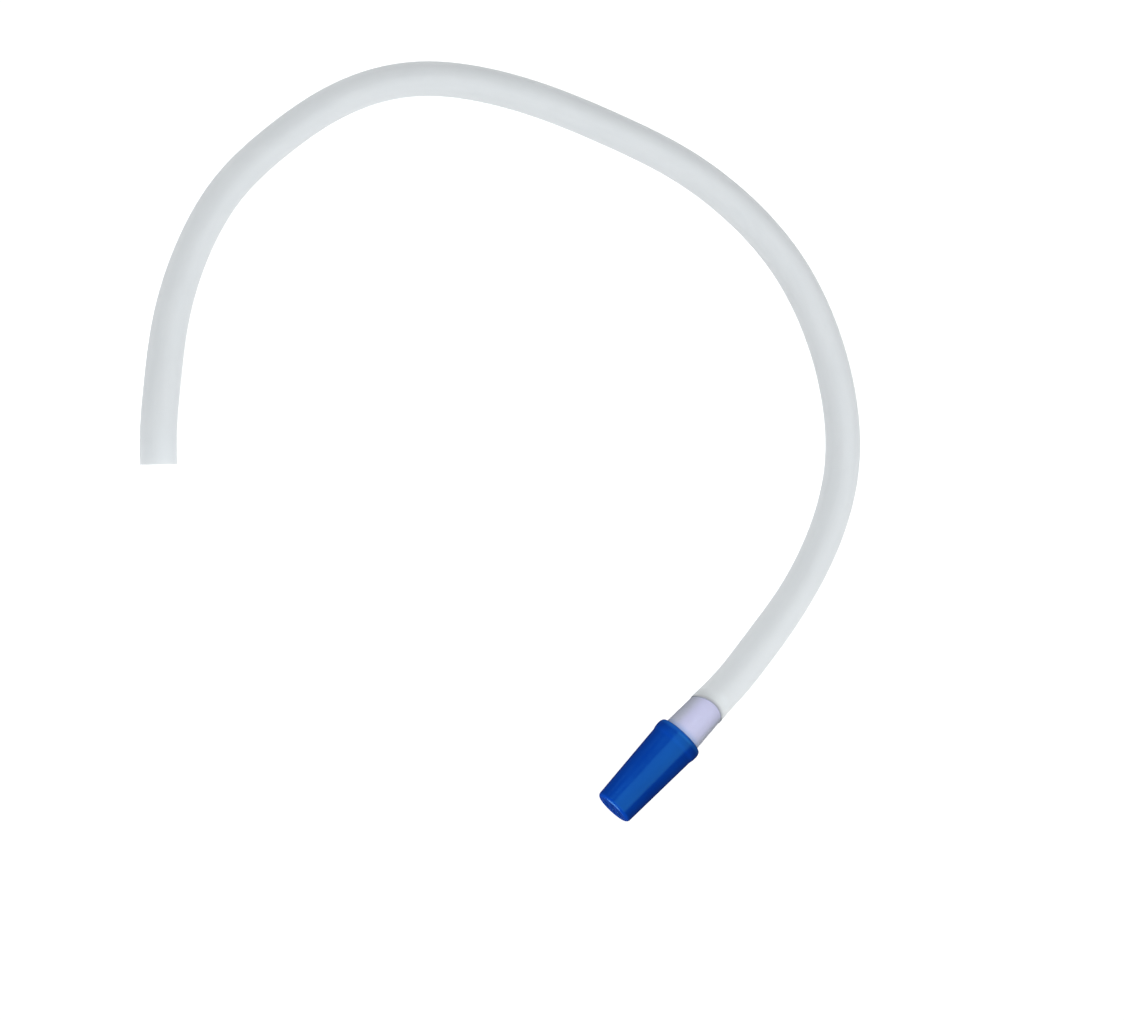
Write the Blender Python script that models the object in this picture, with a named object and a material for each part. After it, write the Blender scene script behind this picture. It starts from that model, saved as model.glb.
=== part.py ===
"""Saliva ejector tip: a soft suction hose with a shaping wire, a clear tapered stem and a blue pull-off cap.

Units are metres. The tip lies along +X with the inlet pointing to +X, and everything lies on z = 0.
The origin is on that surface, midway between the stem's nose and the cap's inlet end.
Places along the tip are measured from the cap's rear rim, positive towards the inlet ("along").
"""

import math

import bmesh
import bpy
import numpy as np
from mathutils import Matrix

MM = 0.001

# Cap: a tapered shell that flares into a rounded collar at its rear rim.
CAP_LENGTH = 17.9 * MM
CAP_INLET_RADIUS = 3.58 * MM
CAP_TAPER_END_RADIUS = 4.31 * MM
CAP_TAPER_END = 3.1 * MM
CAP_RIM_RADIUS = 4.55 * MM
CAP_RIM_CREST = 1.1 * MM
CAP_RIM_LIP_RADIUS = 4.12 * MM
CAP_CORNER = 0.7 * MM
CAP_FRONT_WALL = 1.4 * MM
COLLAR_BORE_RADIUS = 3.95 * MM
COLLAR_BORE_DEPTH = 2.9 * MM
SEAT_MOUTH_RADIUS = 3.15 * MM
SEAT_END_RADIUS = 2.90 * MM
SEAT_END = 13.5 * MM
INLET_HOLE_RADIUS = 0.5 * MM
INLET_HOLE_CIRCLE = 1.65 * MM
INLET_HOLES_ROUND = 6

# Stem: a bored connector, with a tapered plug and rounded nose behind and a taper seat in front.
NOSE_REACH = 8.4 * MM
NOSE_START = 7.2 * MM
NOSE_TIP_RADIUS = 2.15 * MM
PLUG_NOSE_RADIUS = 2.80 * MM
PLUG_RIM_RADIUS = 3.16 * MM
FLANGE_RADIUS = 3.6 * MM
FLANGE_START = 1.8 * MM
FLANGE_END = 2.6 * MM
SPIGOT_ROOT_RADIUS = 3.00 * MM
SPIGOT_END_RADIUS = 2.75 * MM
SPIGOT_END = 12.5 * MM
SPIGOT_CHAMFER = 0.4 * MM
STEM_BORE_RADIUS = 1.9 * MM

# Hose: its front end is stretched over the plug and stops inside the collar.
HOSE_RADIUS = 3.25 * MM
HOSE_BORE_RADIUS = 2.60 * MM
HOSE_FRONT = 1.5 * MM
STRETCH_RIM_RADIUS = 3.73 * MM
STRETCH_END = 10.0 * MM
PLUG_CLEARANCE = 0.15 * MM
HOSE_STEP = 6.5 * MM
HOSE_LIFT = 0.02 * MM

# Shaping wire: it lies along the bottom of the bore.
WIRE_RADIUS = 0.4 * MM
WIRE_DROP = 2.05 * MM
WIRE_FRONT_GAP = 5.0 * MM
WIRE_REAR_GAP = 3.0 * MM

TIP_LENGTH = NOSE_REACH + CAP_LENGTH
CAP_REAR_X = TIP_LENGTH / 2 - CAP_LENGTH
AXIS_HEIGHT = CAP_RIM_RADIUS
LYING_HEIGHT = HOSE_RADIUS + HOSE_LIFT
SETTLE_START = 15.0 * MM
SETTLE_LENGTH = 42.0 * MM

TURNED_SIDES = 48
HOLE_SIDES = 16
TUBE_BEVEL_RESOLUTION = 4
TUBE_SIDES = 4 + 2 * TUBE_BEVEL_RESOLUTION
ARC_STEPS = 5
BORE_OVERSHOOT = 0.3 * MM

# The hose's route in plan, in millimetres, from behind the stem to the square cut end.
ROUTE_MM = [
    (-18.2, 0.0),
    (-23.2, -0.4),
    (-36.1, -2.0),
    (-48.6, -5.5),
    (-59.7, -11.8),
    (-68.3, -21.2),
    (-74.5, -32.3),
    (-78.2, -44.6),
    (-78.8, -57.5),
    (-76.8, -70.3),
    (-72.6, -82.7),
    (-67.5, -94.7),
    (-61.1, -106.0),
    (-52.5, -115.8),
    (-41.2, -122.2),
    (-28.7, -125.1),
    (-15.9, -125.7),
    (-3.6, -122.7),
    (7.6, -117.1),
    (17.7, -109.6),
    (27.35, -100.9),
]
CUT_DIRECTION = (0.7145, 0.6997)


def clear_scene():
    for obj in list(bpy.data.objects):
        bpy.data.objects.remove(obj)


def plastic(name, colour, roughness, metallic=0.0):
    material = bpy.data.materials.new(name)
    material.use_nodes = True
    shader = material.node_tree.nodes["Principled BSDF"]
    shader.inputs["Base Color"].default_value = (*colour, 1.0)
    shader.inputs["Roughness"].default_value = roughness
    shader.inputs["Metallic"].default_value = metallic
    return material


def link(name, mesh, material, location=(0.0, 0.0, 0.0)):
    obj = bpy.data.objects.new(name, mesh)
    bpy.context.collection.objects.link(obj)
    obj.location = location
    if material is not None:
        mesh.materials.append(material)
    return obj


def smooth(mesh, angle=35.0):
    mesh.shade_smooth()
    mesh.set_sharp_from_angle(angle=math.radians(angle))


def arc(centre, half_axes, start, end, steps=ARC_STEPS):
    """Points (along, radius) on an ellipse's arc, with both ends, from start to end in degrees."""
    points = []
    for i in range(steps + 1):
        turn = math.radians(start + (end - start) * i / steps)
        along = centre[0] + half_axes[0] * math.cos(turn)
        radius = centre[1] + half_axes[1] * math.sin(turn)
        points.append((along, radius))
    return points


def turned(name, outline, material):
    """A solid of revolution about the tip's axis. outline is a closed loop of (along, radius)."""
    shape = bmesh.new()
    ring = [shape.verts.new((along, 0.0, -radius)) for along, radius in outline]
    edges = [shape.edges.new((a, b)) for a, b in zip(ring, ring[1:] + ring[:1])]
    bmesh.ops.spin(
        shape,
        geom=ring + edges,
        axis=(1.0, 0.0, 0.0),
        cent=(0.0, 0.0, 0.0),
        angle=2 * math.pi,
        steps=TURNED_SIDES,
        use_merge=True,
    )
    bmesh.ops.recalc_face_normals(shape, faces=shape.faces)
    mesh = bpy.data.meshes.new(name)
    shape.to_mesh(mesh)
    shape.free()
    smooth(mesh)
    return link(name, mesh, material, (CAP_REAR_X, 0.0, AXIS_HEIGHT))


def hole_drills(name, along, length):
    """One mesh of pins that are parallel to the tip's axis and stand in a ring round it."""
    shape = bmesh.new()
    for i in range(INLET_HOLES_ROUND):
        turn = 2 * math.pi * i / INLET_HOLES_ROUND
        y = INLET_HOLE_CIRCLE * math.cos(turn)
        z = INLET_HOLE_CIRCLE * math.sin(turn)
        place = Matrix.Translation((along, y, z)) @ Matrix.Rotation(math.pi / 2, 4, "Y")
        bmesh.ops.create_cone(
            shape,
            cap_ends=True,
            segments=HOLE_SIDES,
            radius1=INLET_HOLE_RADIUS,
            radius2=INLET_HOLE_RADIUS,
            depth=length,
            matrix=place,
        )
    mesh = bpy.data.meshes.new(name)
    shape.to_mesh(mesh)
    shape.free()
    return mesh


def combine(obj, helper, operation):
    """Adds a Boolean modifier whose helper object isn't rendered."""
    helper.hide_render = True
    helper.display_type = "WIRE"
    modifier = obj.modifiers.new(operation.title() + " " + helper.name, "BOOLEAN")
    modifier.operation = operation
    modifier.solver = "EXACT"
    modifier.object = helper


def natural_spline(points, spacing):
    """Points about spacing apart on the natural cubic spline through the given points."""
    points = np.array(points, float)
    knots = np.concatenate([[0.0], np.cumsum(np.linalg.norm(np.diff(points, axis=0), axis=1))])
    gaps = np.diff(knots)
    count = len(points)
    system = np.zeros((count, count))
    right = np.zeros_like(points)
    system[0, 0] = system[-1, -1] = 1.0
    for i in range(1, count - 1):
        system[i, i - 1 : i + 2] = gaps[i - 1], 2 * (gaps[i - 1] + gaps[i]), gaps[i]
        slopes = (points[i + 1] - points[i]) / gaps[i] - (points[i] - points[i - 1]) / gaps[i - 1]
        right[i] = 6 * slopes
    bends = np.linalg.solve(system, right)
    wanted = np.linspace(0.0, knots[-1], round(knots[-1] / spacing) + 1)
    piece = np.clip(np.searchsorted(knots, wanted, side="right") - 1, 0, count - 2)
    gap = gaps[piece][:, None]
    before = (knots[piece + 1] - wanted)[:, None]
    after = (wanted - knots[piece])[:, None]
    curve = (bends[piece] * before**3 + bends[piece + 1] * after**3) / (6 * gap)
    curve += (points[piece] / gap - bends[piece] * gap / 6) * before
    curve += (points[piece + 1] / gap - bends[piece + 1] * gap / 6) * after
    return curve


def hose_height(distance):
    """The centre line's height: level with the tip, then down to lie on the surface."""
    share = min(max((distance - SETTLE_START) / SETTLE_LENGTH, 0.0), 1.0)
    eased = share * share * (3.0 - 2.0 * share)
    return AXIS_HEIGHT + (LYING_HEIGHT - AXIS_HEIGHT) * eased


def hose_line():
    """The hose's centre line from its front end to its cut end, as an array of points."""
    straight = [HOSE_FRONT, 0.0, -NOSE_START, -STRETCH_END]
    end = np.array(ROUTE_MM[-1]) * MM
    before_end = end - HOSE_STEP * np.array(CUT_DIRECTION)
    plan = [(CAP_REAR_X - STRETCH_END, 0.0)]
    plan += [(x * MM, y * MM) for x, y in ROUTE_MM[:-1]]
    plan += [tuple(before_end), tuple(end)]
    free = natural_spline(plan, HOSE_STEP)
    free[-2:] = before_end, end
    line = [(CAP_REAR_X + along, 0.0, AXIS_HEIGHT) for along in straight[:-1]]
    walked = 0.0
    for i, (x, y) in enumerate(free):
        if i:
            walked += float(np.hypot(*(free[i] - free[i - 1])))
        line.append((x, y, hose_height(walked + STRETCH_END)))
    return np.array(line)


def extended(line, front, rear):
    """The line with its two ends moved outwards along their own directions."""
    moved = line.copy()
    for end, beside, by in ((0, 1, front), (-1, -2, rear)):
        outwards = line[end] - line[beside]
        moved[end] += outwards / np.linalg.norm(outwards) * by
    return moved


def tube_mesh(name, line, radii):
    """A round tube along the line, made by a bevelled curve with filled caps."""
    curve = bpy.data.curves.new(name, "CURVE")
    curve.dimensions = "3D"
    curve.bevel_depth = MM
    curve.bevel_resolution = TUBE_BEVEL_RESOLUTION
    curve.use_fill_caps = True
    spline = curve.splines.new("POLY")
    spline.points.add(len(line) - 1)
    for point, place, radius in zip(spline.points, line, radii):
        point.co = (*place, 1.0)
        point.radius = radius / MM
    guide = bpy.data.objects.new(name, curve)
    bpy.context.collection.objects.link(guide)
    graph = bpy.context.evaluated_depsgraph_get()
    mesh = bpy.data.meshes.new_from_object(guide.evaluated_get(graph))
    bpy.data.objects.remove(guide)
    shape = bmesh.new()
    shape.from_mesh(mesh)
    bmesh.ops.remove_doubles(shape, verts=shape.verts, dist=0.001 * MM)
    bmesh.ops.recalc_face_normals(shape, faces=shape.faces)
    shape.to_mesh(mesh)
    shape.free()
    smooth(mesh)
    mesh.name = name
    return mesh


def make_hose(material):
    line = hose_line()
    free = len(line) - 3
    outer = [STRETCH_RIM_RADIUS + 0.05 * MM, STRETCH_RIM_RADIUS]
    outer.append(STRETCH_RIM_RADIUS + (HOSE_RADIUS - STRETCH_RIM_RADIUS) * NOSE_START / STRETCH_END)
    outer += [HOSE_RADIUS] * free
    # The bore's flats, and not its corners, keep the clearance to the round plug.
    to_corner = 1.0 / math.cos(math.pi / TUBE_SIDES)
    rim = (PLUG_RIM_RADIUS + PLUG_CLEARANCE) * to_corner
    nose = (PLUG_NOSE_RADIUS + PLUG_CLEARANCE) * to_corner
    inner = [rim + 0.05 * MM, rim, nose] + [HOSE_BORE_RADIUS * to_corner] * free
    hose = link("suction_hose", tube_mesh("suction_hose", line, outer), material)
    bore_line = extended(line, BORE_OVERSHOOT, BORE_OVERSHOOT)
    bore = link("hose_bore", tube_mesh("hose_bore", bore_line, inner), None)
    combine(hose, bore, "DIFFERENCE")
    return hose


def make_wire(material):
    line = hose_line()
    nose_x = CAP_REAR_X - NOSE_REACH - WIRE_FRONT_GAP
    line = line[int(np.argmax(line[:, 0] < nose_x)) :]
    line = extended(line, 0.0, -WIRE_REAR_GAP)
    line[:, 2] -= WIRE_DROP
    return link("shaping_wire", tube_mesh("shaping_wire", line, [WIRE_RADIUS] * len(line)), material)


def make_stem(material, axis):
    nose_half_axis = (NOSE_REACH - NOSE_START) / math.sqrt(1 - (NOSE_TIP_RADIUS / PLUG_NOSE_RADIUS) ** 2)
    tip_turn = 90.0 + math.degrees(math.acos(NOSE_TIP_RADIUS / PLUG_NOSE_RADIUS))
    outline = [(-NOSE_REACH, STEM_BORE_RADIUS)]
    outline += reversed(arc((-NOSE_START, 0.0), (nose_half_axis, PLUG_NOSE_RADIUS), 90.0, tip_turn))
    outline += [
        (0.0, PLUG_RIM_RADIUS),
        (FLANGE_START, PLUG_RIM_RADIUS),
        (FLANGE_START, FLANGE_RADIUS),
        (FLANGE_END, FLANGE_RADIUS),
        (FLANGE_END, SPIGOT_ROOT_RADIUS),
        (SPIGOT_END - SPIGOT_CHAMFER, SPIGOT_END_RADIUS),
        (SPIGOT_END, SPIGOT_END_RADIUS - SPIGOT_CHAMFER),
        (SPIGOT_END, STEM_BORE_RADIUS),
    ]
    stem = turned("tip_stem", outline, material)
    stem.parent = axis
    stem.location = (CAP_REAR_X - axis.location.x, 0.0, 0.0)
    return stem


def cap_outline():
    corner = (CAP_LENGTH - CAP_CORNER, CAP_INLET_RADIUS - CAP_CORNER)
    lip_height = CAP_RIM_RADIUS - CAP_RIM_LIP_RADIUS
    outline = [(0.0, COLLAR_BORE_RADIUS)]
    outline += arc((CAP_RIM_CREST, CAP_RIM_LIP_RADIUS), (CAP_RIM_CREST, lip_height), 180.0, 90.0)
    outline += [
        (1.8 * MM, CAP_RIM_RADIUS - 0.06 * MM),
        (2.4 * MM, CAP_TAPER_END_RADIUS + 0.05 * MM),
        (CAP_TAPER_END, CAP_TAPER_END_RADIUS),
    ]
    outline += arc(corner, (CAP_CORNER, CAP_CORNER), 90.0, 0.0)
    inner_wall = CAP_LENGTH - CAP_FRONT_WALL
    outline += [
        (CAP_LENGTH, INLET_HOLE_RADIUS),
        (inner_wall, INLET_HOLE_RADIUS),
        (inner_wall, SEAT_END_RADIUS),
        (SEAT_END, SEAT_END_RADIUS),
        (COLLAR_BORE_DEPTH, SEAT_MOUTH_RADIUS),
        (COLLAR_BORE_DEPTH, COLLAR_BORE_RADIUS),
    ]
    return outline


def make_cap(material, stem):
    cap = turned("tip_cap", cap_outline(), material)
    cap.parent = stem
    cap.location = (0.0, 0.0, 0.0)
    along = CAP_LENGTH - CAP_FRONT_WALL / 2
    length = CAP_FRONT_WALL + 2 * BORE_OVERSHOOT
    holes = link("inlet_holes", hole_drills("inlet_holes", along, length), None)
    holes.parent = stem
    combine(cap, holes, "DIFFERENCE")
    return cap


def main():
    clear_scene()
    hose_plastic = plastic("milky_pvc", (0.66, 0.71, 0.74), 0.42)
    stem_plastic = plastic("lilac_clear_pvc", (0.52, 0.54, 0.78), 0.25)
    cap_plastic = plastic("blue_pvc", (0.006, 0.085, 0.40), 0.28)
    wire_metal = plastic("steel_wire", (0.56, 0.55, 0.52), 0.35, metallic=1.0)
    axis = bpy.data.objects.new("tip_axis", None)
    bpy.context.collection.objects.link(axis)
    axis.location = (CAP_REAR_X - NOSE_START, 0.0, AXIS_HEIGHT)
    make_hose(hose_plastic)
    make_wire(wire_metal)
    stem = make_stem(stem_plastic, axis)
    make_cap(cap_plastic, stem)


main()
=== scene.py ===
"""Looks for the saliva ejector tip: a milky hose, its wire, a clear lilac stem and a blue pull-off cap.

Everything is in metres, in the CAD's frame: the tip lies along +X with the inlet pointing to +X, on z = 0.
Places along the tip are measured from the cap's rear rim, positive towards the inlet ("along").
"""

import math

import bmesh
import bpy
import numpy as np
from mathutils import Matrix, Vector


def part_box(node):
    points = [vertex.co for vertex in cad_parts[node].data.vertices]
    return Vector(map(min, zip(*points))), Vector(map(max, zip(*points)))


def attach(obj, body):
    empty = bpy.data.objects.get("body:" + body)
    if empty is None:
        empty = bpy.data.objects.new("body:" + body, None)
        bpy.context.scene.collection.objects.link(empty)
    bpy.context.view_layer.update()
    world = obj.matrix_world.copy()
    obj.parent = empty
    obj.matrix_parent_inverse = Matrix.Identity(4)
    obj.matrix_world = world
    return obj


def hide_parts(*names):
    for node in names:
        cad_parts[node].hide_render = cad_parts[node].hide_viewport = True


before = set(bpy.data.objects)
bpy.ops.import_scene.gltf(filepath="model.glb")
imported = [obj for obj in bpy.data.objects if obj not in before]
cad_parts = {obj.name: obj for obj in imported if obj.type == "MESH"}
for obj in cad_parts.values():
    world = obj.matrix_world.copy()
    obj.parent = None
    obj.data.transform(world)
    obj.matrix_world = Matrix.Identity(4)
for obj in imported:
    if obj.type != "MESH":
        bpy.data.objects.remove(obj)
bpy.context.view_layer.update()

MM = 0.001
CAP_LOW, CAP_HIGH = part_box("tip_cap")
STEM_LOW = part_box("tip_stem")[0]

# Cap.
CAP_REAR_X = CAP_LOW.x
CAP_LENGTH = CAP_HIGH.x - CAP_LOW.x
AXIS_HEIGHT = (CAP_LOW.z + CAP_HIGH.z) / 2
CAP_INLET_RADIUS = 3.58 * MM
CAP_TAPER_END_RADIUS = 4.31 * MM
CAP_TAPER_END = 3.1 * MM
CAP_TAPER_ROUNDING = 0.2 * MM
CAP_FOOT = 2.4 * MM
CAP_FOOT_RISE = 0.03 * MM
CAP_FOOT_ROUNDING = 0.25 * MM
CAP_RIM_RADIUS = 4.55 * MM
CAP_RIM_CREST = 1.1 * MM
CAP_RIM_END = 1.9 * MM
CAP_RIM_DROP = 0.05 * MM
CAP_RIM_ROUNDING = 0.3 * MM
CAP_RIM_LIP_RADIUS = 4.12 * MM
CAP_LIP_ROUNDING = 0.05 * MM
CAP_CORNER = 0.7 * MM
CAP_FRONT_WALL = 1.4 * MM
COLLAR_BORE_RADIUS = 3.95 * MM
COLLAR_BORE_DEPTH = 2.9 * MM
SEAT_MOUTH_RADIUS = 3.15 * MM
SEAT_END_RADIUS = 2.90 * MM
SEAT_END = 13.5 * MM
INLET_HOLE_RADIUS = 0.5 * MM
INLET_HOLE_CIRCLE = 1.65 * MM
INLET_HOLES_ROUND = 6
HOLE_MOUTH = 0.06 * MM
HOLE_OVERCUT = 0.4 * MM
HOLE_SIDES = 32
INNER_ROUNDING = 0.1 * MM

# Stem.
NOSE_REACH = CAP_REAR_X - STEM_LOW.x
NOSE_START = 7.2 * MM
NOSE_TIP_RADIUS = 2.3 * MM
NOSE_MOUTH_ROUNDING = 0.06 * MM
PLUG_GAP = 0.03 * MM
PLUG_TAPER = 0.1 * MM
STEM_BORE_RADIUS = 1.9 * MM
FLANGE_RADIUS = 3.6 * MM
FLANGE_START = 1.8 * MM
FLANGE_END = 2.6 * MM
FLANGE_FOOT_ROUNDING = 0.05 * MM
FLANGE_ROUNDING = 0.12 * MM
SPIGOT_ROOT_RADIUS = 3.00 * MM
SPIGOT_ROOT_ROUNDING = 0.15 * MM
SPIGOT_END_RADIUS = 2.75 * MM
SPIGOT_END = 12.5 * MM
SPIGOT_CHAMFER = 0.4 * MM
TURNED_SIDES = 128

# Hose. Distances along it are measured from its front, which is inside the cap's collar. It is a little
# narrower, seen from above, over its bent stretch. Its route is the CAD's, on the surface that it lies on.
HOSE_RADIUS = 3.25 * MM
HOSE_BORE_RADIUS = 2.60 * MM
HOSE_FRONT = 1.5 * MM
HOSE_LIFT = 0.02 * MM
STRETCH_RIM_RADIUS = 3.73 * MM
STRETCH_END = 10.0 * MM
STRETCH_WALL = 0.12 * MM
WALL_SETTLE = 3.0 * MM
LYING_HEIGHT = HOSE_RADIUS + HOSE_LIFT
SETTLE_START = 15.0 * MM
SETTLE_LENGTH = 42.0 * MM
FLATTENING = 0.055
FLAT_RISE = (24.0 * MM, 36.0 * MM)
FLAT_FALL = (222.0 * MM, 252.0 * MM)
CUT_ROUNDING = 0.08 * MM
HOSE_RING_STEP = 1.0 * MM
HOSE_FRONT_POINTS = 20
HOSE_SIDES = 64
SLEEVE_END = 10.5 * MM
CUT_DIRECTION = (0.7145, 0.6997)
CUT_STRETCH = 6.5 * MM
ROUTE = [
    (-0.0182, 0.0),
    (-0.0232, -0.0004),
    (-0.0361, -0.002),
    (-0.0486, -0.0055),
    (-0.0597, -0.0118),
    (-0.0683, -0.0212),
    (-0.0745, -0.0323),
    (-0.0782, -0.0446),
    (-0.0788, -0.0575),
    (-0.0768, -0.0703),
    (-0.0726, -0.0827),
    (-0.0675, -0.0947),
    (-0.0611, -0.106),
    (-0.0525, -0.1158),
    (-0.0412, -0.1222),
    (-0.0287, -0.1251),
    (-0.0159, -0.1257),
    (-0.0036, -0.1227),
    (0.0076, -0.1171),
    (0.0177, -0.1096),
    (0.02735, -0.1009),
]

# Wire.
WIRE_RADIUS = 0.4 * MM
WIRE_DROP = 2.05 * MM
WIRE_FRONT_GAP = 5.0 * MM
WIRE_REAR_GAP = 3.0 * MM
WIRE_BURR = 0.05 * MM
WIRE_RINGS = 240
WIRE_SIDES = 20

# Camera: nearly straight down, tilted to the picture's left and rolled so that the tip points down left.
# VIEW_WIDTH is how much it takes in at its target.
VIEW_WIDTH = 0.19746
CAMERA_TILT = math.radians(16.0)
TIP_ANGLE = math.radians(45.60)
CAMERA_DISTANCE = 2.5
CAMERA_TARGET = Vector((-0.01816, -0.04312, 0.0033))
PICTURE_RIGHT = Vector((-math.cos(TIP_ANGLE), math.sin(TIP_ANGLE), 0.0))
PICTURE_UP = Vector((-math.sin(TIP_ANGLE), -math.cos(TIP_ANGLE), 0.0))
ABOVE = Vector((0.0, 0.0, 1.0))
BELOW = Vector((0.0, 0.0, -1.0))
TOWARDS_CAMERA = ABOVE * math.cos(CAMERA_TILT) - PICTURE_RIGHT * math.sin(CAMERA_TILT)
WORLD_STRENGTH = 0.03
FLOOR_HALF_SIZE = 1.5
SHARP_ANGLE = math.radians(40.0)

# Looks. Places in materials are in millimetres, and a pair gives a range.
NOISE_RANGE = (0.3, 0.7)

HOSE_DEEP = (0.735, 0.78, 0.81)
HOSE_PALE = (0.76, 0.805, 0.835)
HOSE_LINE = (0.775, 0.82, 0.85)
HOSE_LINE_RANGE = (0.35, 0.7)
HOSE_LINE_STRENGTH = (0.0, 0.30)
HOSE_ROUGHNESS = (0.36, 0.52)
HOSE_SCATTER_REACH = 1.5 * MM

# The hose is clear over the plug. The edge where it turns milky leans with height and bows across the hose.
SLEEVE_SLANT = 0.15
SLEEVE_BOW = 0.065
SLEEVE_ALPHA = 0.12
SLEEVE_SOLID = (8.48, 8.88)
# A thin grey line of painted shade along the milky edge, where the plug's nose turns away under the hose.
SLEEVE_SHADE_LINE = (0.61, 0.66, 0.70)
SLEEVE_SHADE_LINE_RISE = (8.28, 8.48)
SLEEVE_SHADE_LINE_FALL = (8.78, 9.30)
# A paler band of painted highlight on the hose, just behind the milky edge.
SLEEVE_HIGHLIGHT = (0.85, 0.93, 0.985)
SLEEVE_HIGHLIGHT_FALL = (8.88, 11.7)

LILAC_DEEP = (0.56, 0.56, 0.79)
LILAC_PALE = (0.59, 0.59, 0.83)
# Painted shade: the stem's flanks are greyer and darker than its middle.
LILAC_FLANK_SHADE = (0.52, 0.54, 0.68)
LILAC_FLANK_SHADE_ACROSS = (1.9, 3.1)
# Painted shade: the plug's rounded nose is greyer where it turns away.
LILAC_NOSE_SHADE = (0.46, 0.47, 0.56)
LILAC_NOSE_SHADE_ALONG = (-8.2, -7.7)
# Painted shadow of the cap's collar, tinted with painted blue light reflected from the cap, beside its rim.
LILAC_RIM_SHADE_AND_GLOW = (0.36, 0.46, 0.74)
LILAC_RIM_SHADE_AND_GLOW_RISE = (-1.3, -0.1)
LILAC_RIM_SHADE_AND_GLOW_FALL = (-0.1, 0.4)
LILAC_ROUGHNESS = (0.16, 0.30)

BLUE_DEEP = (0.0012, 0.034, 0.29)
BLUE_PALE = (0.0020, 0.046, 0.33)
# A paler blue painted as a highlight along the cap's rear rim.
BLUE_RIM_HIGHLIGHT = (0.012, 0.12, 0.52)
BLUE_RIM_HIGHLIGHT_ALONG = (0.3, 1.1)
BLUE_RIM_HIGHLIGHT_STRENGTH = (0.8, 0.0)
BLUE_ROUGHNESS = (0.16, 0.24)
BLUE_GLOSS = 0.75
BLUE_GLOSS_TINT = (0.10, 0.76, 1.0, 1.0)


# ---- Camera and light ----


def make_camera():
    side = PICTURE_UP.cross(TOWARDS_CAMERA)
    turn = Matrix((side, PICTURE_UP, TOWARDS_CAMERA)).transposed()
    data = bpy.data.cameras.new("camera")
    camera = bpy.data.objects.new("camera", data)
    bpy.context.scene.collection.objects.link(camera)
    place = CAMERA_TARGET + TOWARDS_CAMERA * CAMERA_DISTANCE
    camera.matrix_world = Matrix.Translation(place) @ turn.to_4x4()
    data.lens = data.sensor_width * CAMERA_DISTANCE / VIEW_WIDTH
    data.clip_start = 0.1
    data.clip_end = 20.0
    bpy.context.scene.camera = camera


def make_world():
    world = bpy.data.worlds.new("studio")
    world.use_nodes = True
    background = world.node_tree.nodes["Background"]
    background.inputs["Color"].default_value = (1.0, 1.0, 1.0, 1.0)
    background.inputs["Strength"].default_value = WORLD_STRENGTH
    bpy.context.scene.world = world


def make_softbox(name, toward, distance, size, brightness, lit, shades=None, glossy=True):
    """A square area light that faces the object and lights only the pieces in lit.

    brightness is the radiance that it gives to a white matte surface that faces it. Only the pieces in
    shades throw a shadow in it, or everything where shades is None.
    """
    data = bpy.data.lights.new(name, "AREA")
    data.shape = "SQUARE"
    data.size = size
    reach = size / 2 / math.hypot(size / 2, distance)
    share_of_sky = 4 / math.pi * reach * math.atan(reach)
    data.energy = brightness / share_of_sky * size * size * math.pi
    light = bpy.data.objects.new(name, data)
    bpy.context.scene.collection.objects.link(light)
    toward = Vector(toward).normalized()
    light.location = CAMERA_TARGET + toward * distance
    light.rotation_euler = toward.to_track_quat("Z", "Y").to_euler()
    light.visible_camera = False
    light.visible_glossy = glossy
    receivers = bpy.data.collections.new(name + "_receivers")
    for obj in lit:
        receivers.objects.link(obj)
    light.light_linking.receiver_collection = receivers
    if shades is not None:
        blockers = bpy.data.collections.new(name + "_blockers")
        for obj in shades:
            blockers.objects.link(obj)
        light.light_linking.blocker_collection = blockers


def make_lights(floor, hose, wire, stem, cap):
    """Soft lights that reach only their own pieces, so that nothing throws a shadow on the floor."""
    tube, pieces = [hose, wire], [hose, wire, stem, cap]
    make_softbox("floor_wash", ABOVE, distance=1.0, size=3.0, brightness=1.12, lit=[floor], shades=[floor])
    make_softbox("hose_dome", ABOVE, distance=0.6, size=6.0, brightness=0.855, lit=tube)
    make_softbox("hose_glow", BELOW, distance=0.6, size=6.0, brightness=0.86, lit=tube, shades=pieces)
    fill = {"distance": 1.2, "size": 0.6, "lit": tube, "glossy": False}
    make_softbox("hose_fill", (0.22, 0.92, 0.34), brightness=0.28, **fill)
    make_softbox("hose_left", ABOVE * 0.1 - PICTURE_RIGHT, brightness=0.11, shades=pieces, **fill)
    stem_way = TOWARDS_CAMERA + Vector((0.0, 0.1, 0.0))
    make_softbox("stem_key", stem_way, distance=1.0, size=0.5, brightness=1.13, lit=[stem])
    under = {"distance": 1.0, "shades": pieces, "glossy": False}
    make_softbox("stem_under_left", (0.0, -0.55, -0.83), size=0.6, brightness=0.42, lit=[stem], **under)
    make_softbox("stem_under_right", (0.0, 0.55, -0.83), size=0.6, brightness=0.42, lit=[stem], **under)
    make_softbox("cap_under", BELOW, size=1.2, brightness=0.45, lit=[cap], **under)
    make_softbox("cap_key", (0.0, 0.17, 0.98), distance=1.0, size=1.87, brightness=0.56, lit=[cap])
    matte = {"distance": 1.0, "lit": [cap], "glossy": False}
    make_softbox("cap_side", (0.0, -0.8, 0.6), size=0.5, brightness=0.56, **matte)
    make_softbox("cap_front", (1.0, 0.0, 0.25), size=0.6, brightness=0.95, **matte)
    low_front = (1.0, 0.0, -0.3)
    make_softbox("cap_edge", low_front, distance=1.0, size=0.6, brightness=0.45, lit=[cap], shades=pieces)


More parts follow.
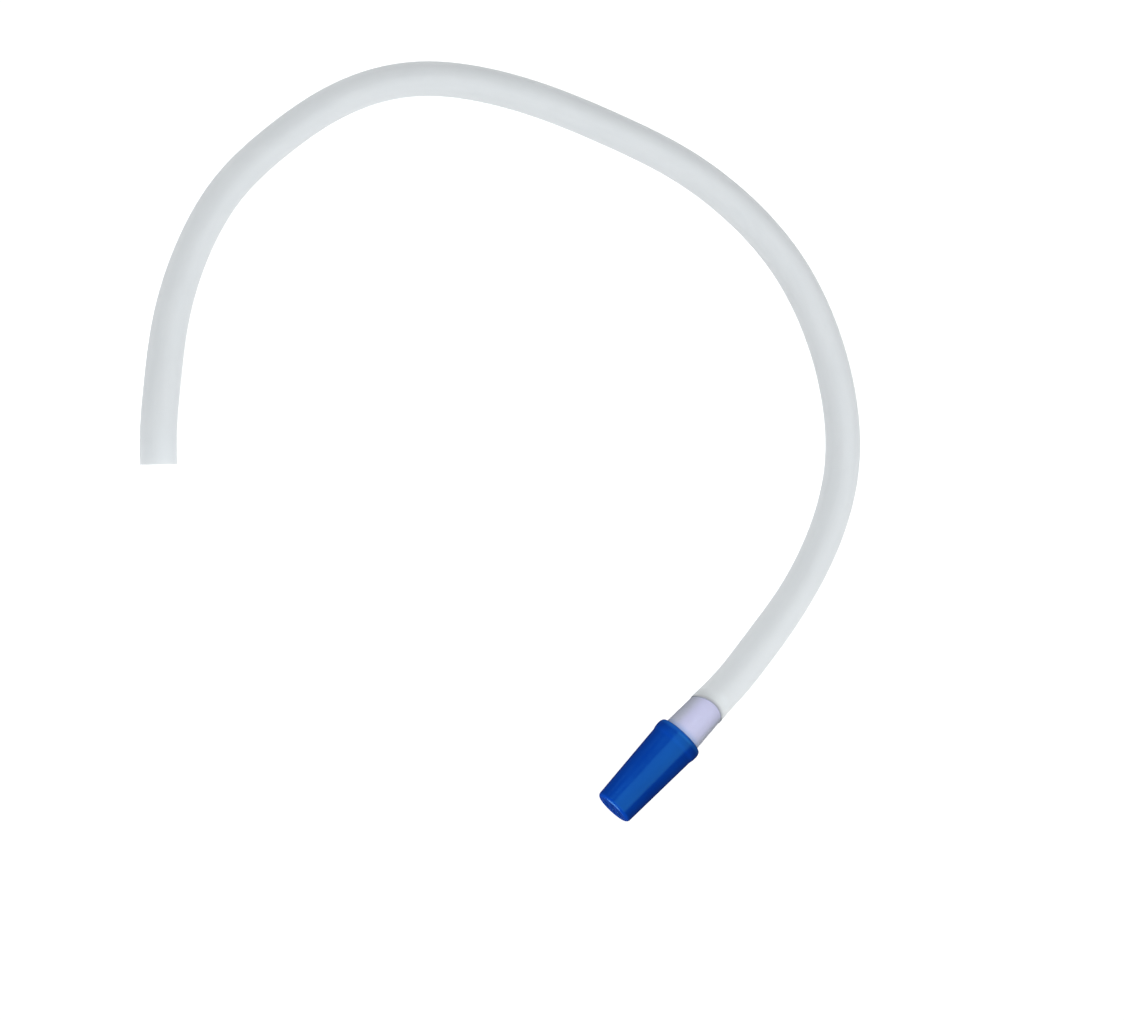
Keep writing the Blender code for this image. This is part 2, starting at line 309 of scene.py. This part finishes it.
def make_floor():
    """A plain pale floor, which shows to the camera only and throws no light on the pieces."""
    half = FLOOR_HALF_SIZE
    corners = [(-half, -half, 0), (half, -half, 0), (half, half, 0), (-half, half, 0)]
    mesh = bpy.data.meshes.new("floor")
    mesh.from_pydata(corners, [], [(0, 1, 2, 3)])
    floor = bpy.data.objects.new("floor", mesh)
    bpy.context.scene.collection.objects.link(floor)
    paper, tree, shader = new_material("floor_paper")
    set_sockets(tree, shader, Base_Color=(0.93, 0.93, 0.93, 1.0), Roughness=0.9, Specular_IOR_Level=0.1)
    mesh.materials.append(paper)
    floor.visible_diffuse = False
    floor.visible_glossy = False
    return floor


# ---- Lines and swept shapes ----


def natural_spline(points, spacing):
    """Points about spacing apart on the natural cubic spline through the given points."""
    points = np.array(points, float)
    knots = np.concatenate([[0.0], np.cumsum(np.linalg.norm(np.diff(points, axis=0), axis=1))])
    gaps = np.diff(knots)
    count = len(points)
    system = np.zeros((count, count))
    right = np.zeros_like(points)
    system[0, 0] = system[-1, -1] = 1.0
    for i in range(1, count - 1):
        system[i, i - 1 : i + 2] = gaps[i - 1], 2 * (gaps[i - 1] + gaps[i]), gaps[i]
        turn = (points[i + 1] - points[i]) / gaps[i] - (points[i] - points[i - 1]) / gaps[i - 1]
        right[i] = 6 * turn
    bends = np.linalg.solve(system, right)
    wanted = np.linspace(0.0, knots[-1], round(knots[-1] / spacing) + 1)
    piece = np.clip(np.searchsorted(knots, wanted, side="right") - 1, 0, count - 2)
    gap = gaps[piece][:, None]
    before = (knots[piece + 1] - wanted)[:, None]
    after = (wanted - knots[piece])[:, None]
    curve = (bends[piece] * before**3 + bends[piece + 1] * after**3) / (6 * gap)
    curve += (points[piece] / gap - bends[piece] * gap / 6) * before
    curve += (points[piece + 1] / gap - bends[piece + 1] * gap / 6) * after
    return curve


def eased(value, start, end):
    """0 before start, 1 after end, and a smooth step between them."""
    share = np.clip((value - start) / (end - start), 0.0, 1.0)
    return share * share * (3.0 - 2.0 * share)


def hose_height(distance):
    """The centre line's height behind the cap's rim: level with the tip, then down to the surface."""
    down = eased(distance, SETTLE_START, SETTLE_START + SETTLE_LENGTH)
    return AXIS_HEIGHT + (LYING_HEIGHT - AXIS_HEIGHT) * down


def hose_line():
    """The hose's centre line from its front end to its cut end, with points close together."""
    end = np.array(ROUTE[-1])
    before_end = end - CUT_STRETCH * np.array(CUT_DIRECTION)
    plan = [(CAP_REAR_X - STRETCH_END, 0.0), *ROUTE[:-1], tuple(before_end), tuple(end)]
    free = natural_spline(plan, HOSE_RING_STEP / 2)
    walked = np.concatenate([[0.0], np.cumsum(np.linalg.norm(np.diff(free, axis=0), axis=1))])
    heights = hose_height(walked + STRETCH_END)
    free = np.column_stack([free, heights])
    count = HOSE_FRONT_POINTS
    front = np.linspace(CAP_REAR_X + HOSE_FRONT, CAP_REAR_X - STRETCH_END, count + 1)[:-1]
    straight = np.column_stack([front, np.zeros(count), np.full(count, AXIS_HEIGHT)])
    return np.vstack([straight, free])


class Line:
    """A smooth line that gives a place and two cross directions at each distance along it."""

    def __init__(self, points):
        self.points = points
        steps = np.linalg.norm(np.diff(points, axis=0), axis=1)
        self.walked = np.concatenate([[0.0], np.cumsum(steps)])
        self.length = float(self.walked[-1])
        tangents = np.gradient(points, self.walked, axis=0)
        self.tangents = tangents / np.linalg.norm(tangents, axis=1)[:, None]

    def read(self, values, distance):
        return np.array([np.interp(distance, self.walked, values[:, k]) for k in range(3)])

    def at(self, distance):
        forward = self.read(self.tangents, distance)
        forward /= np.linalg.norm(forward)
        side = np.cross(forward, (0.0, 0.0, 1.0))
        side /= np.linalg.norm(side)
        over = distance - min(max(distance, 0.0), self.length)
        return self.read(self.points, distance) + forward * over, side, np.cross(side, forward)


TIP_AXIS = Line(np.array([(CAP_REAR_X, 0.0, AXIS_HEIGHT), (CAP_REAR_X + CAP_LENGTH, 0.0, AXIS_HEIGHT)]))


def link(name, mesh):
    """A new object in the scene with the mesh, smooth but for its sharp edges."""
    mesh.shade_smooth()
    mesh.set_sharp_from_angle(angle=SHARP_ANGLE)
    obj = bpy.data.objects.new(name, mesh)
    bpy.context.scene.collection.objects.link(obj)
    return obj


def swept(name, outline, line, sides, flat_ends=False, width=None):
    """A body round a line, from an outline of (distance, radius): a closed loop, or open with flat ends.

    width gives the body's width at a distance along the line, as a share of its height.
    The "straight" attribute holds each point as if the line were straight, in millimetres.
    """
    turns = np.arange(sides) * 2 * math.pi / sides
    across, upright = np.cos(turns), np.sin(turns)
    points, straight = [], []
    for distance, radius in outline:
        centre, side, normal = line.at(distance)
        share = width(distance) if width else 1.0
        points.append(centre + radius * (np.outer(across * share, side) + np.outer(upright, normal)))
        straight.append(np.column_stack([np.full(sides, distance), radius * across, radius * upright]) / MM)
    count = len(outline)
    faces = []
    for i in range(count - int(flat_ends)):
        here, there = i * sides, (i + 1) % count * sides
        for k in range(sides):
            after = (k + 1) % sides
            faces.append((here + k, here + after, there + after, there + k))
    if flat_ends:
        faces += [tuple(range(sides)), tuple(range((count - 1) * sides, count * sides))]
    mesh = bpy.data.meshes.new(name)
    mesh.from_pydata(np.vstack(points).tolist(), [], faces)
    places = mesh.attributes.new("straight", "FLOAT_VECTOR", "POINT")
    places.data.foreach_set("vector", np.vstack(straight).astype(np.float32).ravel())
    shape = bmesh.new()
    shape.from_mesh(mesh)
    bmesh.ops.recalc_face_normals(shape, faces=shape.faces)
    shape.to_mesh(mesh)
    shape.free()
    return link(name, mesh)


def arc(centre, half_axes, start, end, steps=8):
    """Points (along, radius) on an ellipse's arc, with both ends, from start to end in degrees."""
    points = []
    for i in range(steps + 1):
        turn = math.radians(start + (end - start) * i / steps)
        along = centre[0] + half_axes[0] * math.cos(turn)
        radius = centre[1] + half_axes[1] * math.sin(turn)
        points.append((along, radius))
    return points


def rounded(corners, steps=5):
    """Points (along, radius) through (along, radius, rounding) corners, each rounded by its own size."""
    points = []
    places = [np.array(corner[:2], float) for corner in corners]
    for i, corner in enumerate(corners):
        here, size = places[i], corner[2]
        if size <= 0:
            points.append(tuple(here))
            continue
        before = places[i - 1] - here
        after = places[(i + 1) % len(corners)] - here
        start = here + before / np.linalg.norm(before) * size
        end = here + after / np.linalg.norm(after) * size
        for k in range(steps + 1):
            t = k / steps
            points.append(tuple((1 - t) ** 2 * start + 2 * t * (1 - t) * here + t * t * end))
    return points


# ---- Pieces ----


def outer_radius(distance):
    """The hose's outside: stretched over the plug at its front end, and then plain."""
    share = min((distance - HOSE_FRONT) / STRETCH_END, 1.0)
    return STRETCH_RIM_RADIUS + (HOSE_RADIUS - STRETCH_RIM_RADIUS) * share


def inner_radius(distance):
    """The hose's bore: tight on the plug, and narrower behind its nose."""
    stretched = outer_radius(distance) - STRETCH_WALL
    nose = HOSE_FRONT + NOSE_START
    return stretched + (HOSE_BORE_RADIUS - stretched) * eased(distance, nose, nose + WALL_SETTLE)


def hose_width(distance):
    """The hose's width as a share of its plain width: a soft tube flattens a little where it is bent."""
    return 1.0 - FLATTENING * eased(distance, *FLAT_RISE) * (1.0 - eased(distance, *FLAT_FALL))


def make_hose():
    """The hose, with the milky material everywhere but on its clear sleeve, and its centre line."""
    line = Line(hose_line())
    rings = round(line.length / HOSE_RING_STEP)
    walked = np.linspace(2 * CUT_ROUNDING, line.length - 2 * CUT_ROUNDING, rings)
    stations = [float(distance) for distance in walked]
    corner = (CUT_ROUNDING, CUT_ROUNDING)
    rear, front = line.length - CUT_ROUNDING, CUT_ROUNDING
    outline = [(station, outer_radius(station)) for station in stations]
    outline += arc((rear, HOSE_RADIUS - CUT_ROUNDING), corner, 90.0, 0.0, steps=4)
    outline += arc((rear, HOSE_BORE_RADIUS + CUT_ROUNDING), corner, 0.0, -90.0, steps=4)
    outline += [(station, inner_radius(station)) for station in reversed(stations)]
    outline += arc((front, inner_radius(0.0) + CUT_ROUNDING), corner, -90.0, -180.0, steps=4)
    outline += arc((front, outer_radius(0.0) - CUT_ROUNDING), corner, 180.0, 90.0, steps=4)
    hose = swept("hose_tube", outline, line, HOSE_SIDES, width=hose_width)
    straight = hose.data.attributes["straight"].data
    for face in hose.data.polygons:
        middle = sum(straight[v].vector.x for v in face.vertices) / len(face.vertices)
        face.material_index = int(middle < SLEEVE_END / MM)
    hose.data.materials.append(milky_plastic("hose_milky", clear=False))
    hose.data.materials.append(milky_plastic("hose_sleeve", clear=True))
    return hose, line


def make_wire(hose_centre):
    """The wire along the bottom of the hose's bore, in the CAD's own plain steel."""
    start = HOSE_FRONT + NOSE_REACH + WIRE_FRONT_GAP
    end = hose_centre.length - WIRE_REAR_GAP
    line = Line(hose_centre.points - np.array((0.0, 0.0, WIRE_DROP)))
    rings = np.linspace(start + WIRE_BURR, end - WIRE_BURR, WIRE_RINGS)
    outline = [(start, WIRE_RADIUS - WIRE_BURR)]
    outline += [(float(ring), WIRE_RADIUS) for ring in rings]
    outline += [(end, WIRE_RADIUS - WIRE_BURR)]
    wire = swept("wire", outline, line, WIRE_SIDES, flat_ends=True)
    wire.data.materials.append(bpy.data.materials["wire_steel"])
    return wire


def make_stem():
    """The stem: a plug with a round nose that fills the hose's front, a flange and a seat for the cap."""
    nose_radius = inner_radius(HOSE_FRONT + NOSE_START) - PLUG_GAP
    rim_radius = inner_radius(HOSE_FRONT) - PLUG_GAP
    nose_half_axis = (NOSE_REACH - NOSE_START) / math.sqrt(1 - (NOSE_TIP_RADIUS / nose_radius) ** 2)
    tip_turn = 90.0 + math.degrees(math.acos(NOSE_TIP_RADIUS / nose_radius))
    nose = arc((-NOSE_START, 0.0), (nose_half_axis, nose_radius), tip_turn, 90.0, steps=16)
    corners = [
        (-NOSE_REACH, STEM_BORE_RADIUS, NOSE_MOUTH_ROUNDING),
        *[(along, radius, 0.0) for along, radius in nose],
        (0.0, rim_radius, 0.0),
        (FLANGE_START, rim_radius - PLUG_TAPER, FLANGE_FOOT_ROUNDING),
        (FLANGE_START, FLANGE_RADIUS, FLANGE_ROUNDING),
        (FLANGE_END, FLANGE_RADIUS, FLANGE_ROUNDING),
        (FLANGE_END, SPIGOT_ROOT_RADIUS, SPIGOT_ROOT_ROUNDING),
        (SPIGOT_END - SPIGOT_CHAMFER, SPIGOT_END_RADIUS, INNER_ROUNDING),
        (SPIGOT_END, SPIGOT_END_RADIUS - SPIGOT_CHAMFER, INNER_ROUNDING),
        (SPIGOT_END, STEM_BORE_RADIUS, INNER_ROUNDING),
    ]
    stem = swept("stem", rounded(corners), TIP_AXIS, TURNED_SIDES)
    stem.data.materials.append(lilac_plastic())
    return stem


def hole_cutter():
    """Pins that cut the ring of inlet holes, each widening in a round mouth at the cap's front."""
    front, back = CAP_LENGTH, CAP_LENGTH - CAP_FRONT_WALL
    mouth_radius = INLET_HOLE_RADIUS + HOLE_MOUTH
    mouth = arc((front - HOLE_MOUTH, mouth_radius), (HOLE_MOUTH, HOLE_MOUTH), -90.0, 0.0, steps=5)
    outline = [(back - HOLE_OVERCUT, INLET_HOLE_RADIUS), *mouth, (front + HOLE_OVERCUT, mouth_radius)]
    pins = []
    for i in range(INLET_HOLES_ROUND):
        turn = 2 * math.pi * i / INLET_HOLES_ROUND
        pin = swept("inlet_pin", outline, TIP_AXIS, HOLE_SIDES, flat_ends=True)
        offset = Vector((0.0, math.cos(turn), math.sin(turn))) * INLET_HOLE_CIRCLE
        pin.data.transform(Matrix.Translation(offset))
        pins.append(pin)
    shape = bmesh.new()
    for pin in pins:
        shape.from_mesh(pin.data)
        bpy.data.objects.remove(pin)
    mesh = bpy.data.meshes.new("inlet_pins")
    shape.to_mesh(mesh)
    shape.free()
    return link("inlet_pins", mesh)


def cap_blank():
    """The cap with its middle hole, before the ring of holes is cut."""
    lip_height = CAP_RIM_RADIUS - CAP_RIM_LIP_RADIUS
    lip = arc((CAP_RIM_CREST, CAP_RIM_LIP_RADIUS), (CAP_RIM_CREST, lip_height), 180.0, 90.0, steps=14)
    corner = (CAP_LENGTH - CAP_CORNER, CAP_INLET_RADIUS - CAP_CORNER)
    front = arc(corner, (CAP_CORNER, CAP_CORNER), 90.0, 0.0, steps=12)
    inner_wall = CAP_LENGTH - CAP_FRONT_WALL
    corners = [
        (0.0, COLLAR_BORE_RADIUS, CAP_LIP_ROUNDING),
        *[(along, radius, 0.0) for along, radius in lip],
        (CAP_RIM_END, CAP_RIM_RADIUS - CAP_RIM_DROP, CAP_RIM_ROUNDING),
        (CAP_FOOT, CAP_TAPER_END_RADIUS + CAP_FOOT_RISE, CAP_FOOT_ROUNDING),
        (CAP_TAPER_END, CAP_TAPER_END_RADIUS, CAP_TAPER_ROUNDING),
        *[(along, radius, 0.0) for along, radius in front],
        (CAP_LENGTH, INLET_HOLE_RADIUS, HOLE_MOUTH),
        (inner_wall, INLET_HOLE_RADIUS, HOLE_MOUTH),
        (inner_wall, SEAT_END_RADIUS, INNER_ROUNDING),
        (SEAT_END, SEAT_END_RADIUS, INNER_ROUNDING),
        (COLLAR_BORE_DEPTH, SEAT_MOUTH_RADIUS, INNER_ROUNDING),
        (COLLAR_BORE_DEPTH, COLLAR_BORE_RADIUS, INNER_ROUNDING),
    ]
    return swept("cap_blank", rounded(corners), TIP_AXIS, TURNED_SIDES)


def make_cap():
    """The blank with its ring of inlet holes cut."""
    blank, cutter = cap_blank(), hole_cutter()
    drilling = blank.modifiers.new("holes", "BOOLEAN")
    drilling.operation = "DIFFERENCE"
    drilling.solver = "EXACT"
    drilling.object = cutter
    graph = bpy.context.evaluated_depsgraph_get()
    mesh = bpy.data.meshes.new_from_object(blank.evaluated_get(graph))
    bpy.data.objects.remove(blank)
    bpy.data.objects.remove(cutter)
    for vertex, place in zip(mesh.vertices, mesh.attributes["straight"].data):
        place.vector = (vertex.co - Vector((CAP_REAR_X, 0.0, AXIS_HEIGHT))) / MM
    cap = link("cap", mesh)
    cap.data.materials.append(blue_plastic())
    return cap


# ---- Materials ----


def new_material(name):
    material = bpy.data.materials.new(name)
    material.use_nodes = True
    tree = material.node_tree
    return material, tree, tree.nodes["Principled BSDF"]


def put(tree, socket, value):
    """Link the value to the socket, or set the socket to it."""
    if isinstance(value, bpy.types.NodeSocket):
        tree.links.new(value, socket)
    else:
        socket.default_value = value


def set_sockets(tree, target, **values):
    """Link or set a node's sockets, named with _ for a space."""
    for key, value in values.items():
        put(tree, target.inputs[key.replace("_", " ")], value)


def node(tree, kind, settings=None, **values):
    """A new node with its settings, and its sockets linked or set."""
    new = tree.nodes.new(kind)
    for key, value in (settings or {}).items():
        setattr(new, key, value)
    set_sockets(tree, new, **values)
    return new


def straight_place(tree):
    return node(tree, "ShaderNodeAttribute", {"attribute_name": "straight"}).outputs["Vector"]


def straight_axes(tree):
    """The distance along, the place across and the height over the axis."""
    parts = node(tree, "ShaderNodeSeparateXYZ", Vector=straight_place(tree))
    return parts.outputs["X"], parts.outputs["Y"], parts.outputs["Z"]


def noise(tree, stretch, scale, detail):
    """Noise on the straight place, multiplied by stretch along each axis first."""
    place = node(tree, "ShaderNodeMapping", Vector=straight_place(tree), Scale=stretch).outputs["Vector"]
    made = node(tree, "ShaderNodeTexNoise", Vector=place, Scale=scale, Detail=detail, Roughness=0.5)
    return made.outputs["Fac"]


def remap(tree, value, source, target=(0.0, 1.0), smooth=False):
    """The value moved from the source range to the target range, and held inside it."""
    settings = {"interpolation_type": "SMOOTHSTEP" if smooth else "LINEAR", "clamp": True}
    made = node(tree, "ShaderNodeMapRange", settings, Value=value)
    set_sockets(tree, made, From_Min=source[0], From_Max=source[1], To_Min=target[0], To_Max=target[1])
    return made.outputs["Result"]


def arithmetic(tree, operation, first, second=0.0):
    made = node(tree, "ShaderNodeMath", {"operation": operation})
    put(tree, made.inputs[0], first)
    put(tree, made.inputs[1], second)
    return made.outputs["Value"]


def band(tree, value, rise, fall):
    """1 between rise and fall, easing from 0 over rise and back to 0 over fall."""
    up = remap(tree, value, rise, smooth=True)
    down = remap(tree, value, fall, (1.0, 0.0), smooth=True)
    return arithmetic(tree, "MULTIPLY", up, down)


def blend_colour(tree, factor, first, second):
    """From the first colour to the second. Each is a link or a plain (red, green, blue).

    The Mix node repeats its sockets' names for each kind of data, so its colours go by number.
    """
    made = node(tree, "ShaderNodeMix", {"data_type": "RGBA"})
    factor_socket, first_socket, second_socket = made.inputs[0], made.inputs[6], made.inputs[7]
    put(tree, factor_socket, factor)
    for socket, colour in ((first_socket, first), (second_socket, second)):
        put(tree, socket, colour if isinstance(colour, bpy.types.NodeSocket) else (*colour, 1.0))
    return made.outputs[2]


def bump(tree, height, distance, strength, under=None):
    made = node(tree, "ShaderNodeBump", Height=height, Distance=distance, Strength=strength)
    if under is not None:
        tree.links.new(under, made.inputs["Normal"])
    return made.outputs["Normal"]


def sleeve_edge(tree):
    """How far a point lies along the hose from its front, less the lean and the bow of the milky edge."""
    along, across, height = straight_axes(tree)
    lean = arithmetic(tree, "MULTIPLY", height, SLEEVE_SLANT)
    bow = arithmetic(tree, "MULTIPLY", arithmetic(tree, "MULTIPLY", across, across), SLEEVE_BOW)
    return arithmetic(tree, "ADD", arithmetic(tree, "SUBTRACT", along, lean), bow)


def milky_plastic(name, clear):
    """Soft milky PVC with faint clouds, die lines along it and a slightly uneven skin.

    Where clear is true it is clear up to the milky edge, which has a thin grey line of painted shade.
    """
    material, tree, shader = new_material(name)
    clouds = noise(tree, (0.10, 0.25, 0.25), scale=1.0, detail=3.0)
    lines = noise(tree, (0.012, 1.4, 1.4), scale=1.0, detail=2.0)
    grain = noise(tree, (1.0, 1.0, 1.0), scale=2.2, detail=3.0)
    colour = blend_colour(tree, remap(tree, clouds, NOISE_RANGE), HOSE_DEEP, HOSE_PALE)
    colour = blend_colour(tree, remap(tree, lines, HOSE_LINE_RANGE, HOSE_LINE_STRENGTH), colour, HOSE_LINE)
    edge = sleeve_edge(tree)
    # Painted highlight: a paler band just behind the milky edge, on both the milky hose and the sleeve.
    painted_highlight = band(tree, edge, SLEEVE_SOLID, SLEEVE_HIGHLIGHT_FALL)
    colour = blend_colour(tree, painted_highlight, colour, SLEEVE_HIGHLIGHT)
    if clear:
        # Painted shade: a thin grey line along the milky edge, over the plug's nose.
        line = band(tree, edge, SLEEVE_SHADE_LINE_RISE, SLEEVE_SHADE_LINE_FALL)
        colour = blend_colour(tree, line, colour, SLEEVE_SHADE_LINE)
        set_sockets(tree, shader, Alpha=remap(tree, edge, SLEEVE_SOLID, (SLEEVE_ALPHA, 1.0), smooth=True))
    skin = bump(tree, lines, distance=0.02 * MM, strength=0.6)
    set_sockets(
        tree,
        shader,
        Base_Color=colour,
        Roughness=remap(tree, grain, NOISE_RANGE, HOSE_ROUGHNESS),
        Normal=bump(tree, grain, distance=0.01 * MM, strength=0.5, under=skin),
        Specular_IOR_Level=0.25,
        Subsurface_Weight=0.7,
        Subsurface_Radius=(1.0, 1.0, 1.0),
        Subsurface_Scale=HOSE_SCATTER_REACH,
    )
    return material


def lilac_plastic():
    """Clear lilac PVC, faint flow marks; painted shade on flanks and nose, shadow and blue reflection at
    the rim.
    """
    material, tree, shader = new_material("stem_lilac")
    along, across, _ = straight_axes(tree)
    flow = noise(tree, (0.35, 0.9, 0.9), scale=1.0, detail=3.0)
    grain = noise(tree, (1.0, 1.0, 1.0), scale=4.0, detail=2.0)
    # Painted shade on the flanks, growing towards the sides of the stem.
    flank_shade = remap(tree, arithmetic(tree, "ABSOLUTE", across), LILAC_FLANK_SHADE_ACROSS, smooth=True)
    # Painted shade on the plug's nose, stronger towards its tip.
    nose = remap(tree, along, LILAC_NOSE_SHADE_ALONG, (1.0, 0.0), smooth=True)
    # Painted shadow and painted blue reflected light in a band beside the cap's rim.
    rim_shade_and_glow = band(tree, along, LILAC_RIM_SHADE_AND_GLOW_RISE, LILAC_RIM_SHADE_AND_GLOW_FALL)
    colour = blend_colour(tree, remap(tree, flow, NOISE_RANGE), LILAC_DEEP, LILAC_PALE)
    colour = blend_colour(tree, flank_shade, colour, LILAC_FLANK_SHADE)
    colour = blend_colour(tree, nose, colour, LILAC_NOSE_SHADE)
    colour = blend_colour(tree, rim_shade_and_glow, colour, LILAC_RIM_SHADE_AND_GLOW)
    set_sockets(
        tree,
        shader,
        Base_Color=colour,
        Roughness=remap(tree, grain, NOISE_RANGE, LILAC_ROUGHNESS),
        Normal=bump(tree, flow, distance=0.02 * MM, strength=0.5),
        Specular_IOR_Level=0.3,
    )
    return material


def blue_plastic():
    """Glossy royal-blue moulded PVC with slight swirls, a fine skin and a painted highlight on its rear
    rim.
    """
    material, tree, shader = new_material("cap_blue")
    along = straight_axes(tree)[0]
    swirl = noise(tree, (0.12, 0.4, 0.4), scale=1.0, detail=3.0)
    grain = noise(tree, (1.0, 1.0, 1.0), scale=5.0, detail=3.0)
    # Painted highlight: paler blue at the rear rim, fading towards the inlet.
    rim_highlight = remap(tree, along, BLUE_RIM_HIGHLIGHT_ALONG, BLUE_RIM_HIGHLIGHT_STRENGTH, smooth=True)
    colour = blend_colour(tree, remap(tree, swirl, NOISE_RANGE), BLUE_DEEP, BLUE_PALE)
    skin = bump(tree, swirl, distance=0.03 * MM, strength=0.5)
    set_sockets(
        tree,
        shader,
        Base_Color=blend_colour(tree, rim_highlight, colour, BLUE_RIM_HIGHLIGHT),
        Roughness=remap(tree, grain, NOISE_RANGE, BLUE_ROUGHNESS),
        Normal=bump(tree, grain, distance=0.008 * MM, strength=0.5, under=skin),
        Specular_IOR_Level=BLUE_GLOSS,
        Specular_Tint=BLUE_GLOSS_TINT,
    )
    return material


def main():
    make_camera()
    bpy.context.scene.view_settings.view_transform = "Standard"
    make_world()
    floor = make_floor()
    hose, line = make_hose()
    wire, stem, cap = make_wire(line), make_stem(), make_cap()
    for obj, body, slot in (
        (hose, "hose", "hose_milky_pvc"),
        (wire, "hose", "wire_steel"),
        (stem, "stem", "stem_clear_pvc"),
        (cap, "cap", "cap_blue_pvc"),
    ):
        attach(obj, body)
    make_lights(floor, hose, wire, stem, cap)
    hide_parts("suction_hose")
    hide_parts("shaping_wire")
    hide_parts("tip_stem")
    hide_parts("tip_cap")


main()
